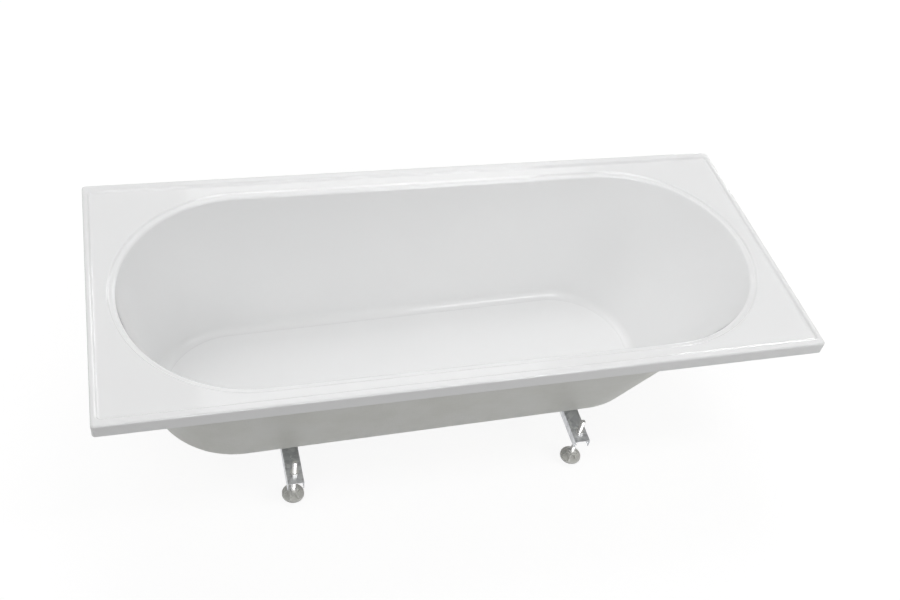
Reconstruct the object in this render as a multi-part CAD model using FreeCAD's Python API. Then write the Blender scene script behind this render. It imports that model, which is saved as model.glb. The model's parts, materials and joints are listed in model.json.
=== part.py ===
import FreeCAD, Part
import math
import os

from FreeCAD import Vector

# An inset acrylic bath on adjustable feet, in millimetres.
# X runs along the bath with the waste at -X and the backrest at +X, Y runs to the back,
# Z is up and the origin is on the floor under the middle of the rim.

# Overall size; the height follows from the well's depth and the stand height below
length = 1650.0
width = 705.0

# Thicknesses of the moulding
sheet = 4.0
laminate = 3.0

# Rim
corner_r = 14.0
lip_drop = 33.0
lip_round_r = 5.0
bead_height = 8.0
bead_side_width = 26.0
bead_end_width = 18.5
bead_crest_r = 2.5
bead_foot_r = 4.5

# Step round the mouth of the well, and the rim's width outside it
rim_end_width = 45.0
rim_side_width = 47.5
step_shoulder = 14.0
step_drop = 5.0
step_edge_r = 2.5
step_foot_r = 2.0
mouth_r = 7.0

# Well
waste_depth = 385.0
fall_deg = 1.3
side_lean_deg = 14.5
drain_lean_deg = 9.5
rest_lean_deg = 32.0
cove_r = 28.0

# Battens bonded under the rim
batten_gap = 2.0

# Base board bonded under the floor of the well
board_from_waste = 95.0
board_from_backrest = 340.0
board_side_margin = 26.0
board_thickness = 16.0
board_corner_r = 40.0
board_wrap = 2.0

# Pressed steel cradles across the base
stand_height = 90.0
cradle_from_drain_end = 120.0
cradle_from_rest_end = 110.0
cradle_end = 30.0
cradle_width = 40.0
cradle_height = 25.0
cradle_steel = 2.0
cradle_bend_r = 3.0
strip_thickness = 5.0
strip_width = 30.0
strip_end_margin = 12.0

# Feet
foot_side_inset = 102.5
foot_travel = 20.0
stud_r = 6.0
stud_above = 45.0
stud_tip_chamfer = 1.0
thread_clearance = 0.05
web_hole_clearance = 0.6
nut_wall = 3.5
weld_nut_height = 10.0
lock_nut_height = 6.0
drive_wall = 2.5
drive_height = 8.0
drive_gap = 0.3
pad_r = 27.0
pad_flange = 5.0
pad_edge_r = 1.5
pad_height = 20.0
pad_hub_wall = 6.0
pad_socket_depth = 12.0
pad_rib_thickness = 3.0
pad_rib_count = 6
pad_rib_margin = 3.0

# Hat bracket of the centre foot
hat_head_room = 6.0
hat_width = 40.0
hat_steel = 2.5
hat_top_length = 50.0
hat_flange_length = 28.0
hat_bend_r = 2.0
centre_stud_above = 14.0

# Wood screws
screw_r = 2.4
screw_length = 20.0
screw_head_r = 5.0
screw_head_height = 3.0
screw_point_length = 4.0
screw_hole_clearance = 0.35
recess_width = 1.2
recess_length = 5.0
recess_depth = 1.5
cradle_screw_y_shares = [-0.8, -0.4, 0.4, 0.8]
hat_screw_y_share = 0.25

# Wall brackets under the back batten
bracket_spacing = 900.0
bracket_width = 36.0
bracket_steel = 2.0
bracket_reach = 30.0
bracket_drop = 42.0
bracket_hole_r = 2.75
bracket_hole_spacing = 20.0
bracket_hole_drop = 28.0
bracket_screw_inset = 20.0
bracket_screw_length = 14.0

# Waste
waste_from_step = 165.0
recess_gap = 4.0
recess_drop = 4.0
recess_flare = 2.0
waste_hole_clearance = 1.4
waste_flange_lap = 7.0
waste_flange_height = 3.0
waste_flange_round_r = 1.2
waste_thread_r = 23.9
waste_neck_step = 0.7
waste_wall = 3.9
waste_body_length = 68.0
waste_tail_length = 38.0
seat_flare = 2.0
seat_depth = 6.0
spider_drop = 42.0
spider_height = 7.0
spider_web = 3.0
spider_count = 3
spider_hub_r = 7.0
top_seal_height = 1.5
under_seal_height = 5.0
under_seal_lap = 7.5
slip_washer_height = 1.5
back_nut_wall = 6.4
back_nut_height = 10.0
nut_chamfer = 1.0

# Push plug in the waste
plug_travel = 9.0
plug_inset = 3.0
plug_edge_height = 1.6
plug_dome_height = 5.0
plug_seat_gap = 0.3
plug_boss_r = 8.0
plug_boss_height = 5.0
plug_seal_height = 3.5
plug_seal_lip = 1.2
plug_seal_gap = 0.3
plunger_r = 4.2
plunger_length = 9.0
plunger_neck_r = 3.0
plunger_screw_length = 5.0
cartridge_r = 6.4
cartridge_floor = 3.0
cartridge_stud_r = 3.9
cartridge_stud_length = 11.0
running_clearance = 0.06
spring_wire_r = 0.45
spring_turns = 6
spring_end_gap = 0.1

# Extra reach of every cutting shape
overrun = 50.0

# Heights and places that follow from the sizes above
step_length = length - 2 * rim_end_width
step_width = width - 2 * rim_side_width
fall = math.tan(math.radians(fall_deg))
waste_x = waste_from_step - step_length / 2
board_drain_x = waste_x + board_from_waste
board_rest_x = step_length / 2 - board_from_backrest
cradle_drain_x = board_drain_x + cradle_from_drain_end
cradle_rest_x = board_rest_x - cradle_from_rest_end
centre_foot_x = (cradle_drain_x + cradle_rest_x) / 2
foot_y = width / 2 - foot_side_inset
base_stack = sheet + laminate + board_thickness + board_wrap
base_drop = base_stack / math.cos(math.radians(fall_deg))
drain_cradle_depth = waste_depth - (cradle_drain_x - waste_x) * fall + base_drop + strip_thickness
rim_z = stand_height + drain_cradle_depth
lip_z = rim_z - lip_drop
ledge_z = rim_z - bead_height
mouth_z = ledge_z - step_drop
ledge_under_z = ledge_z - sheet - laminate
step_r = step_width / 2
arc_x = step_length / 2 - step_r
mouth_radius = step_r - step_shoulder
cavity_depth = waste_depth + overrun
seat_z = rim_z - waste_depth - recess_drop
flange_z = seat_z + top_seal_height
flange_top_z = flange_z + waste_flange_height
spider_z = flange_top_z - spider_drop
plug_z = flange_top_z + plug_seat_gap
cartridge_z = spider_z + spider_height
hat_depth = centre_stud_above + foot_travel + hat_head_room
nut_across = 2 * (stud_r + nut_wall)
drive_across = 2 * (stud_r + drive_wall)
pad_hub_r = stud_r + pad_hub_wall
waste_neck_r = waste_thread_r + waste_neck_step
waste_hole_r = waste_neck_r + waste_hole_clearance
waste_bore_r = waste_thread_r - waste_wall
waste_flange_r = waste_hole_r + waste_flange_lap
recess_r = waste_flange_r + recess_gap
seat_r = waste_bore_r + seat_flare
under_seal_r = waste_hole_r + under_seal_lap
back_nut_across = 2 * (waste_neck_r + back_nut_wall)
plug_r = waste_flange_r - plug_inset

UP = Vector(0, 0, 1)
LENGTHWAYS = Vector(1, 0, 0)
BACKWARDS = Vector(0, 1, 0)
tiny = length * 1e-6


def floor_z(x):
    """Height of the well's floor at x."""
    return rim_z - waste_depth + (x - waste_x) * fall


def box(x0, x1, y0, y1, z0, z1):
    return Part.makeBox(x1 - x0, y1 - y0, z1 - z0, Vector(x0, y0, z0))


def rod(r, x, y, z0, z1):
    return Part.makeCylinder(r, z1 - z0, Vector(x, y, z0))


def ring(r_out, r_in, x, y, z0, z1):
    return rod(r_out, x, y, z0, z1).cut(rod(r_in, x, y, z0, z1))


def hexagon(across, x, y, z0, z1):
    """A hexagonal prism, flats facing +Y and -Y."""
    r = across / math.sqrt(3)
    corners = [Vector(x + r * math.cos(k * math.pi / 3), y + r * math.sin(k * math.pi / 3), z0)
               for k in range(6)]
    return Part.Face(Part.makePolygon(corners + corners[:1])).extrude(UP * (z1 - z0))


def chamfered_nut(across, bore_r, x, y, z0, z1):
    """A hexagon nut with its corners turned off at both ends."""
    corner_reach = across / math.sqrt(3)
    blank = rod(corner_reach, x, y, z0, z1)
    blank = blank.makeChamfer(nut_chamfer, blank.Edges)
    return hexagon(across, x, y, z0, z1).common(blank).cut(rod(bore_r, x, y, z0, z1))


def fuse_all(shapes):
    """One solid from touching ones."""
    return shapes[0].fuse(shapes[1:]).removeSplitter()


def slot_wire(x0, x1, r, z):
    """An outline of two straight sides and two half circles about (x0, 0) and (x1, 0)."""
    back = Part.LineSegment(Vector(x0, r, z), Vector(x1, r, z))
    right = Part.Arc(Vector(x1, r, z), Vector(x1 + r, 0, z), Vector(x1, -r, z))
    front = Part.LineSegment(Vector(x1, -r, z), Vector(x0, -r, z))
    left = Part.Arc(Vector(x0, -r, z), Vector(x0 - r, 0, z), Vector(x0, r, z))
    return Part.Wire([back.toShape(), right.toShape(), front.toShape(), left.toShape()])


def rim_wire(end_inset, side_inset, r, z):
    """The rim's rectangle with rounded corners, inset from the outer edge."""
    x = length / 2 - end_inset
    y = width / 2 - side_inset
    slab = box(-x, x, -y, y, z, z + sheet)
    upright = [e for e in slab.Edges if abs(e.tangentAt(e.FirstParameter).z) > 0.5]
    slab = slab.makeFillet(r, upright)
    face = [f for f in slab.Faces if abs(f.CenterOfMass.z - z) < tiny][0]
    return face.OuterWire


def prism(wire, z1):
    z0 = wire.Vertexes[0].Point.z
    return Part.Face(wire).extrude(UP * (z1 - z0))


def edges_on(shape, wire):
    """The edges of a shape that lie on an outline."""
    z = wire.Vertexes[0].Point.z
    found = []
    for edge in shape.Edges:
        middle = edge.valueAt((edge.FirstParameter + edge.LastParameter) / 2)
        level = all(abs(v.Point.z - z) < tiny for v in edge.Vertexes) and abs(middle.z - z) < tiny
        if level and wire.distToShape(Part.Vertex(middle))[0] < tiny:
            found.append(edge)
    return found


def well_wire(z, grow):
    """The well's outline at a height, its walls moved outwards by grow."""
    down = mouth_z - z
    side = mouth_radius - down * math.tan(math.radians(side_lean_deg))
    side += grow / math.cos(math.radians(side_lean_deg))
    drain = arc_x + mouth_radius - down * math.tan(math.radians(drain_lean_deg))
    drain += grow / math.cos(math.radians(drain_lean_deg))
    rest = arc_x + mouth_radius - down * math.tan(math.radians(rest_lean_deg))
    rest += grow / math.cos(math.radians(rest_lean_deg))
    return slot_wire(side - drain, rest - side, side, z)


def on_floor(shape):
    """Tips a shape drawn level about the origin onto the sloping floor of the well."""
    tipped = shape.copy()
    tipped.rotate(Vector(0, 0, 0), BACKWARDS, -fall_deg)
    tipped.translate(UP * floor_z(0))
    return tipped


def above_floor(grow):
    """Everything above the floor plane, the plane moved down by grow."""
    return on_floor(box(-length, length, -width, width, -grow, rim_z + cavity_depth))


def well(grow, top_z):
    """The well as a solid, its walls and floor moved outwards by grow."""
    walls = Part.makeLoft([well_wire(top_z, grow), well_wire(rim_z - cavity_depth, grow)], True, True)
    body = walls.common(above_floor(grow))
    bottom = min(body.Faces, key=lambda f: f.CenterOfMass.z)
    return body.makeFillet(cove_r + grow, bottom.Edges)


def recess(grow):
    """The level dish round the waste, with flared sides."""
    low = seat_z - grow
    high = floor_z(waste_x) + overrun * fall
    flare = recess_flare * (high - low) / recess_drop
    return Part.makeCone(recess_r + grow - flare, recess_r + grow, high - low, Vector(waste_x, 0, low))


def moulding_block(grow):
    """The solid under the moulding's show face when the well is filled, grown to the back."""
    step = slot_wire(-arc_x, arc_x, step_r + grow, mouth_z - grow)
    return fuse_all([prism(step, ledge_z), well(grow, mouth_z - grow), recess(grow)])


def show_hollow():
    """The space above the show face: inside the bead, the step, the well and the waste's dish."""
    inside_bead = rim_wire(bead_end_width - bead_foot_r, bead_side_width - bead_foot_r, corner_r, ledge_z)
    top = prism(inside_bead, rim_z + overrun)
    step = prism(slot_wire(-arc_x, arc_x, step_r, mouth_z), rim_z)
    return fuse_all([top, step, well(0, mouth_z), recess(0)])


def rim_block():
    """The rim as a slab with a rounded top edge."""
    slab = prism(rim_wire(0, 0, corner_r, lip_z), rim_z)
    return slab.makeFillet(lip_round_r, edges_on(slab, rim_wire(0, 0, corner_r, rim_z)))


def under_rim(top_z):
    """The space inside the downturned lip, up to a height."""
    return prism(rim_wire(sheet, sheet, corner_r - sheet, lip_z), top_z)


def under_bead():
    """The hollow under the raised bead."""
    end = bead_end_width - bead_foot_r - sheet
    side = bead_side_width - bead_foot_r - sheet
    outer = prism(rim_wire(sheet, sheet, corner_r - sheet, lip_z), rim_z - sheet)
    inner = prism(rim_wire(end, side, corner_r, lip_z), rim_z - sheet)
    return outer.cut(inner)


def round_show_edges(shell):
    """Rounds the bead, the step and the mouth of the well."""
    bead_end = bead_end_width - bead_foot_r
    bead_side = bead_side_width - bead_foot_r
    rounds = [
        (bead_crest_r, rim_wire(bead_end, bead_side, corner_r, rim_z)),
        (bead_foot_r, rim_wire(bead_end, bead_side, corner_r, ledge_z)),
        (step_edge_r, slot_wire(-arc_x, arc_x, step_r, ledge_z)),
        (step_foot_r, slot_wire(-arc_x, arc_x, step_r, mouth_z)),
        (mouth_r, well_wire(mouth_z, 0)),
    ]
    for radius, outline in rounds:
        shell = shell.makeFillet(radius, edges_on(shell, outline))
    return shell


def acrylic_shell():
    rim = rim_block().cut(under_rim(ledge_z - sheet)).cut(under_bead())
    shell = fuse_all([rim, moulding_block(sheet)]).cut(show_hollow())
    shell = round_show_edges(shell)
    return shell.cut(rod(waste_hole_r, waste_x, 0, 0, rim_z))


def fibreglass_backing():
    """The laminate on the back of the moulding; it fills the bead."""
    level = ledge_z - sheet - laminate
    rim = prism(rim_wire(sheet, sheet, corner_r - sheet, level), rim_z - sheet)
    solid_rim = rim_block().cut(under_rim(ledge_z - sheet)).cut(under_bead())
    backing = fuse_all([rim, moulding_block(sheet + laminate)])
    backing = backing.cut(fuse_all([solid_rim, moulding_block(sheet)])).cut(show_hollow())
    return backing.cut(rod(waste_hole_r, waste_x, 0, 0, rim_z))


def batten_inner_y():
    """The side battens' inner face, just clear of the step's underside."""
    return step_r + sheet + laminate + batten_gap


def side_batten(direction):
    half = length / 2 - corner_r - batten_gap
    outer = width / 2 - sheet
    y0, y1 = sorted([direction * outer, direction * batten_inner_y()])
    return box(-half, half, y0, y1, lip_z, ledge_under_z)


def end_batten(direction):
    outer = length / 2 - sheet
    inner = step_length / 2 + sheet + laminate + batten_gap
    half = batten_inner_y() - batten_gap
    x0, x1 = sorted([direction * outer, direction * inner])
    return box(x0, x1, -half, half, lip_z, ledge_under_z)


def board_half_width():
    """Half the board's width, inside the flat of the floor between its coves."""
    lean = math.radians(side_lean_deg)
    wall_foot = mouth_radius - (mouth_z - floor_z(0)) * math.tan(lean)
    return wall_foot - cove_r * math.tan((math.pi / 2 - lean) / 2) - board_side_margin


def board_blank(grow, low, high):
    """A rounded board under the middle of the floor, drawn level with the floor at zero."""
    y = board_half_width() + grow
    blank = box(board_drain_x - grow, board_rest_x + grow, -y, y, low, high)
    upright = [e for e in blank.Edges if abs(e.tangentAt(e.FirstParameter).z) > 0.5]
    return blank.makeFillet(board_corner_r + grow, upright)


def base_board():
    top = -sheet - laminate
    board = on_floor(board_blank(0, top - board_thickness, top))
    for screw in base_screw_places():
        board = board.cut(screw_hole(screw))
    return board


def base_wrap():
    """The laminate tray that seals the base board to the back of the bath."""
    top = -sheet - laminate
    tray = board_blank(board_wrap, -base_stack, top).cut(board_blank(0, top - board_thickness, top))
    tray = on_floor(tray)
    for screw in base_screw_places():
        tray = tray.cut(screw_hole(screw))
    return tray


def base_under_z(x):
    """Height of the base's underside at x."""
    return floor_z(x) - base_drop


def cradle_z(x):
    """Height of a cradle's top face."""
    return base_under_z(x) - strip_thickness


def hat_z():
    """Height of the centre bracket's lower plate, top face."""
    low_end = centre_foot_x - hat_width / 2
    return base_under_z(low_end) - hat_depth


def hat_seat_z():
    """Height of the centre bracket's flanges, top face."""
    return base_under_z(centre_foot_x - hat_width / 2)


def base_screw_places():
    """Where the wood screws go up into the base board: x, y and the seat of the head."""
    places = []
    for x in (cradle_drain_x, cradle_rest_x):
        for share in cradle_screw_y_shares:
            places.append((x, share * board_half_width(), cradle_z(x) - cradle_steel))
    for direction in (-1, 1):
        y = direction * (hat_top_length / 2 + hat_flange_length / 2)
        for shift in (-hat_screw_y_share, hat_screw_y_share):
            places.append((centre_foot_x + shift * hat_width, y, hat_seat_z() - hat_steel))
    return places


def screw_hole(place):
    x, y, z = place
    return rod(screw_r + thread_clearance, x, y, z, z + screw_length + thread_clearance)


def wood_screw(x, y, z, reach):
    """A pan-head screw pointing up, its head under height z."""
    shank = rod(screw_r, x, y, z, z + reach - screw_point_length)
    point = Part.makeCone(screw_r, 0, screw_point_length, Vector(x, y, z + reach - screw_point_length))
    head = rod(screw_head_r, x, y, z - screw_head_height, z)
    under = [e for e in head.Edges if abs(e.CenterOfMass.z - z + screw_head_height) < tiny]
    head = head.makeFillet(screw_head_height / 2, [e for e in under if e.Closed])
    screw = fuse_all([head, shank, point])
    for long_x, long_y in ((recess_length, recess_width), (recess_width, recess_length)):
        screw = screw.cut(box(x - long_x / 2, x + long_x / 2, y - long_y / 2, y + long_y / 2,
                              z - screw_head_height, z - screw_head_height + recess_depth))
    return screw


def cradle(x):
    """A channel across the bath, open downwards."""
    top = cradle_z(x)
    y = foot_y + cradle_end
    outer = box(x - cradle_width / 2, x + cradle_width / 2, -y, y, top - cradle_height, top)
    bends = [e for e in outer.Edges if abs(e.tangentAt(e.FirstParameter).y) > 0.5
             and abs(e.CenterOfMass.z - top) < tiny]
    outer = outer.makeFillet(cradle_bend_r, bends)
    half = cradle_width / 2 - cradle_steel
    inner = box(x - half, x + half, -y, y, top - cradle_height, top - cradle_steel)
    inner_bends = [e for e in inner.Edges if abs(e.tangentAt(e.FirstParameter).y) > 0.5
                   and abs(e.CenterOfMass.z - top + cradle_steel) < tiny]
    channel = outer.cut(inner.makeFillet(cradle_bend_r - cradle_steel, inner_bends))
    for direction in (-1, 1):
        channel = channel.cut(rod(stud_r + web_hole_clearance, x, direction * foot_y,
                                  top - cradle_steel, top))
    for share in cradle_screw_y_shares:
        channel = channel.cut(rod(screw_r + screw_hole_clearance, x, share * board_half_width(),
                                  top - cradle_steel, top))
    return channel


def cradle_strip(x):
    """A rubber strip between a cradle and the sloping base."""
    top = cradle_z(x)
    y = board_half_width() - strip_end_margin
    strip = box(x - strip_width / 2, x + strip_width / 2, -y, y, top, top + strip_thickness * 2)
    base = on_floor(box(-length, length, -width, width, -base_stack, rim_z))
    strip = strip.cut(base)
    for share in cradle_screw_y_shares:
        strip = strip.cut(rod(screw_r + screw_hole_clearance, x, share * board_half_width(),
                              top, top + strip_thickness * 2))
    return strip


def hat_bracket():
    """The bracket that holds the centre foot under the base board."""
    seat = hat_seat_z()
    low = hat_z() - hat_steel
    x0, x1 = centre_foot_x - hat_width / 2, centre_foot_x + hat_width / 2
    half = hat_top_length / 2
    reach = half + hat_flange_length
    flanges = box(x0, x1, -reach, reach, seat - hat_steel, seat)
    tub = box(x0, x1, -half, half, low, seat)
    bracket = fuse_all([flanges, tub])
    inner = half - hat_steel
    bracket = bracket.cut(box(x0, x1, -inner, inner, low + hat_steel, seat))
    bends = [e for e in bracket.Edges if abs(e.tangentAt(e.FirstParameter).x) > 0.5
             and abs(e.CenterOfMass.z - low) < tiny]
    bracket = bracket.makeFillet(hat_bend_r, bends)
    bracket = bracket.cut(rod(stud_r + web_hole_clearance, centre_foot_x, 0, low, low + hat_steel))
    for x, y, z in base_screw_places():
        if abs(y) > half:
            bracket = bracket.cut(rod(screw_r + screw_hole_clearance, x, y, z, z + hat_steel))
    return bracket


def hat_shim():
    """A rubber wedge that fills the fall between the centre bracket and the base."""
    seat = hat_seat_z()
    x0, x1 = centre_foot_x - hat_width / 2, centre_foot_x + hat_width / 2
    half = hat_top_length / 2
    base = on_floor(box(-length, length, -width, width, -base_stack, rim_z))
    wedges = []
    for y0 in (-half - hat_flange_length, half):
        wedge = box(x0, x1, y0, y0 + hat_flange_length, seat, seat + strip_thickness).cut(base)
        for x, y, z in base_screw_places():
            wedge = wedge.cut(rod(screw_r + screw_hole_clearance, x, y, seat, seat + strip_thickness))
        wedges.append(wedge)
    return Part.makeCompound(wedges)


def foot_places():
    """Name, x, y, height of the plate's top face and the stud's reach above it."""
    places = [
        ("front_left", cradle_drain_x, -foot_y, cradle_z(cradle_drain_x), stud_above),
        ("back_left", cradle_drain_x, foot_y, cradle_z(cradle_drain_x), stud_above),
        ("front_right", cradle_rest_x, -foot_y, cradle_z(cradle_rest_x), stud_above),
        ("back_right", cradle_rest_x, foot_y, cradle_z(cradle_rest_x), stud_above),
        ("centre", centre_foot_x, 0, hat_z(), centre_stud_above),
    ]
    return places


def foot_stud(x, y, plate_z, above):
    """A threaded stud with a hexagon to turn it by and a plain end for the pad's socket."""
    low = pad_height - pad_socket_depth
    stud = rod(stud_r, x, y, low, plate_z + above)
    ends = [e for e in stud.Edges if e.Closed and abs(e.CenterOfMass.z - plate_z - above) < tiny]
    stud = stud.makeChamfer(stud_tip_chamfer, ends)
    hexed = pad_height + drive_gap
    corner_reach = drive_across / math.sqrt(3)
    turned = rod(corner_reach, x, y, hexed, hexed + drive_height)
    turned = turned.makeChamfer(nut_chamfer, turned.Edges)
    drive = hexagon(drive_across, x, y, hexed, hexed + drive_height).common(turned)
    return fuse_all([stud, drive])


def foot_pad(x, y):
    """A ribbed moulded pad with a blind socket for the stud."""
    disc = rod(pad_r, x, y, 0, pad_flange)
    rims = [e for e in disc.Edges if e.Closed and abs(e.CenterOfMass.z - pad_flange) < tiny]
    disc = disc.makeFillet(pad_edge_r, rims)
    hub = rod(pad_hub_r, x, y, 0, pad_height)
    pad = [disc, hub]
    for k in range(pad_rib_count):
        angle = 2 * math.pi * k / pad_rib_count
        reach = pad_r - pad_rib_margin
        outline = [Vector(0, 0, pad_flange / 2), Vector(reach, 0, pad_flange / 2), Vector(reach, 0, pad_flange),
                   Vector(pad_hub_r, 0, pad_height - pad_rib_margin), Vector(0, 0, pad_height - pad_rib_margin)]
        rib = Part.Face(Part.makePolygon(outline + outline[:1])).extrude(BACKWARDS * pad_rib_thickness)
        rib.translate(Vector(0, -pad_rib_thickness / 2, 0))
        rib.rotate(Vector(0, 0, 0), UP, math.degrees(angle))
        rib.translate(Vector(x, y, 0))
        pad.append(rib)
    socket = rod(stud_r + running_clearance, x, y, pad_height - pad_socket_depth, pad_height)
    return fuse_all(pad).cut(socket)


def weld_nuts():
    nuts = []
    for name, x, y, plate_z, above in foot_places():
        steel = hat_steel if name == "centre" else cradle_steel
        top = plate_z - steel
        nuts.append(chamfered_nut(nut_across, stud_r + thread_clearance, x, y, top - weld_nut_height, top))
    return Part.makeCompound(nuts)


def lock_nuts():
    nuts = []
    for name, x, y, plate_z, above in foot_places():
        nuts.append(chamfered_nut(nut_across, stud_r + thread_clearance, x, y,
                                  plate_z, plate_z + lock_nut_height))
    return Part.makeCompound(nuts)


def base_screws():
    return Part.makeCompound([wood_screw(x, y, z, screw_length) for x, y, z in base_screw_places()])


def bracket_screw_places():
    places = []
    for side in (-1, 1):
        for shift in (-1, 1):
            x = side * bracket_spacing / 2 + shift * bracket_hole_spacing / 2
            places.append((x, width / 2 - bracket_screw_inset, lip_z - bracket_steel))
    return places


def wall_bracket(direction):
    """An angle under the back batten, its upright against the wall."""
    middle = direction * bracket_spacing / 2
    x0, x1 = middle - bracket_width / 2, middle + bracket_width / 2
    wall = width / 2
    outer = box(x0, x1, wall - bracket_reach, wall, lip_z - bracket_drop, lip_z)
    inner = box(x0, x1, wall - bracket_reach, wall - bracket_steel, lip_z - bracket_drop, lip_z - bracket_steel)
    angle = outer.cut(inner)
    for shift in (-1, 1):
        x = middle + shift * bracket_hole_spacing / 2
        hole = Part.makeCylinder(bracket_hole_r, bracket_steel,
                                 Vector(x, wall - bracket_steel, lip_z - bracket_hole_drop), BACKWARDS)
        angle = angle.cut(hole)
    for x, y, z in bracket_screw_places():
        angle = angle.cut(rod(screw_r + screw_hole_clearance, x, y, z, z + bracket_steel))
    return angle


def bracket_screws():
    screws = [wood_screw(x, y, z, bracket_screw_length) for x, y, z in bracket_screw_places()]
    return Part.makeCompound(screws)


def drilled_back_batten():
    batten = side_batten(1)
    for x, y, z in bracket_screw_places():
        batten = batten.cut(rod(screw_r + thread_clearance, x, y, z,
                                z + bracket_screw_length + thread_clearance))
    return batten


def waste_body():
    """The flange, the neck for the back nut, the trap's tail and the spider for the plug's cartridge."""
    flange = rod(waste_flange_r, waste_x, 0, flange_z, flange_top_z)
    rims = [e for e in flange.Edges if e.Closed and abs(e.CenterOfMass.z - flange_top_z) < tiny]
    flange = flange.makeFillet(waste_flange_round_r, rims)
    low = flange_top_z - waste_body_length
    tail_top = low + waste_tail_length
    tail = rod(waste_thread_r, waste_x, 0, low, tail_top)
    neck = rod(waste_neck_r, waste_x, 0, tail_top, flange_top_z)
    body = fuse_all([flange, neck, tail])
    body = body.cut(rod(waste_bore_r, waste_x, 0, low, flange_top_z))
    seat = Part.makeCone(waste_bore_r, seat_r, seat_depth, Vector(waste_x, 0, flange_top_z - seat_depth))
    body = body.cut(seat)
    webs = [rod(spider_hub_r, waste_x, 0, spider_z, spider_z + spider_height)]
    reach = (waste_bore_r + waste_thread_r) / 2
    for k in range(spider_count):
        web = box(waste_x, waste_x + reach, -spider_web / 2, spider_web / 2, spider_z, spider_z + spider_height)
        web.rotate(Vector(waste_x, 0, 0), UP, k * 360 / spider_count)
        webs.append(web)
    body = fuse_all([body] + webs)
    return body.cut(rod(cartridge_stud_r + thread_clearance, waste_x, 0, spider_z, spider_z + spider_height))


def waste_top_seal():
    return ring(waste_flange_r - waste_flange_round_r, waste_neck_r + thread_clearance, waste_x, 0,
                seat_z, flange_z)


def under_waste_z():
    """Height of the level underside round the waste hole."""
    return seat_z - sheet - laminate


def waste_under_seal():
    top = under_waste_z()
    return ring(under_seal_r, waste_neck_r + thread_clearance, waste_x, 0, top - under_seal_height, top)


def waste_slip_washer():
    top = under_waste_z() - under_seal_height
    return ring(under_seal_r, waste_neck_r + thread_clearance, waste_x, 0, top - slip_washer_height, top)


def waste_back_nut():
    top = under_waste_z() - under_seal_height - slip_washer_height
    return chamfered_nut(back_nut_across, waste_neck_r + thread_clearance, waste_x, 0,
                         top - back_nut_height, top)


def sleeve_top_z():
    """Top of the cartridge, just under the closed plug's boss."""
    return plug_z - plug_boss_height - plug_seat_gap


def plug_cartridge():
    """The sleeve that guides the plunger, screwed into the spider."""
    sleeve = rod(cartridge_r, waste_x, 0, cartridge_z, sleeve_top_z())
    bore = rod(plunger_r + running_clearance, waste_x, 0, cartridge_z + cartridge_floor, sleeve_top_z())
    stud = rod(cartridge_stud_r, waste_x, 0, cartridge_z - cartridge_stud_length, cartridge_z)
    return fuse_all([sleeve.cut(bore), stud])


def plunger_z():
    """Bottom of the plunger with the plug closed."""
    return sleeve_top_z() - plug_travel - plunger_length


def plug_plunger():
    """The plunger in the sleeve and its neck, screwed into the plug's boss."""
    low = plunger_z()
    wide = rod(plunger_r, waste_x, 0, low, low + plunger_length)
    neck = rod(plunger_neck_r, waste_x, 0, low, plug_z - plug_boss_height + plunger_screw_length)
    return fuse_all([wide, neck])


def plug_cap():
    """A shallow domed cap with a boss under it."""
    edge_z = plug_z + plug_edge_height
    crown_z = plug_z + plug_dome_height
    outline = [
        Part.LineSegment(Vector(0, 0, plug_z), Vector(plug_r, 0, plug_z)).toShape(),
        Part.LineSegment(Vector(plug_r, 0, plug_z), Vector(plug_r, 0, edge_z)).toShape(),
        dome_arc(edge_z, crown_z),
        Part.LineSegment(Vector(0, 0, crown_z), Vector(0, 0, plug_z)).toShape(),
    ]
    dome = Part.Face(Part.Wire(outline)).revolve(Vector(0, 0, 0), UP, 360)
    dome.translate(LENGTHWAYS * waste_x)
    boss = rod(plug_boss_r, waste_x, 0, plug_z - plug_boss_height, plug_z)
    thread = rod(plunger_neck_r + thread_clearance, waste_x, 0, plug_z - plug_boss_height,
                 plug_z - plug_boss_height + plunger_screw_length)
    return fuse_all([dome, boss]).cut(thread)


def dome_arc(edge_z, crown_z):
    """The cap's crown as one arc, level at the middle."""
    rise = crown_z - edge_z
    radius = (plug_r ** 2 + rise ** 2) / (2 * rise)
    half_angle = math.asin(plug_r / radius) / 2
    middle = Vector(radius * math.sin(half_angle), 0, crown_z - radius * (1 - math.cos(half_angle)))
    return Part.Arc(Vector(plug_r, 0, edge_z), middle, Vector(0, 0, crown_z)).toShape()


def plug_seal():
    """A tapered rubber ring under the cap that closes on the flange's seat."""
    top_r = seat_r - plug_seal_gap
    ring_body = Part.makeCone(top_r - plug_seal_lip, top_r, plug_seal_height,
                              Vector(waste_x, 0, plug_z - plug_seal_height))
    return ring_body.cut(rod(plug_boss_r + thread_clearance, waste_x, 0, plug_z - plug_seal_height, plug_z))


def plug_spring():
    """The coil under the plunger, drawn closed up as it is with the plug down."""
    low = cartridge_z + cartridge_floor + spring_end_gap
    high = plunger_z() - spring_end_gap
    coil_r = plunger_r - spring_wire_r - spring_end_gap
    rise = high - low - 2 * spring_wire_r
    path = Part.makeHelix(rise / spring_turns, rise, coil_r)
    start = Vector(coil_r, 0, 0)
    section = Part.Wire(Part.makeCircle(spring_wire_r, start, BACKWARDS))
    coil = Part.Wire(path.Edges).makePipeShell([section], True, True)
    coil.translate(Vector(waste_x, 0, low + spring_wire_r))
    return coil


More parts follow.
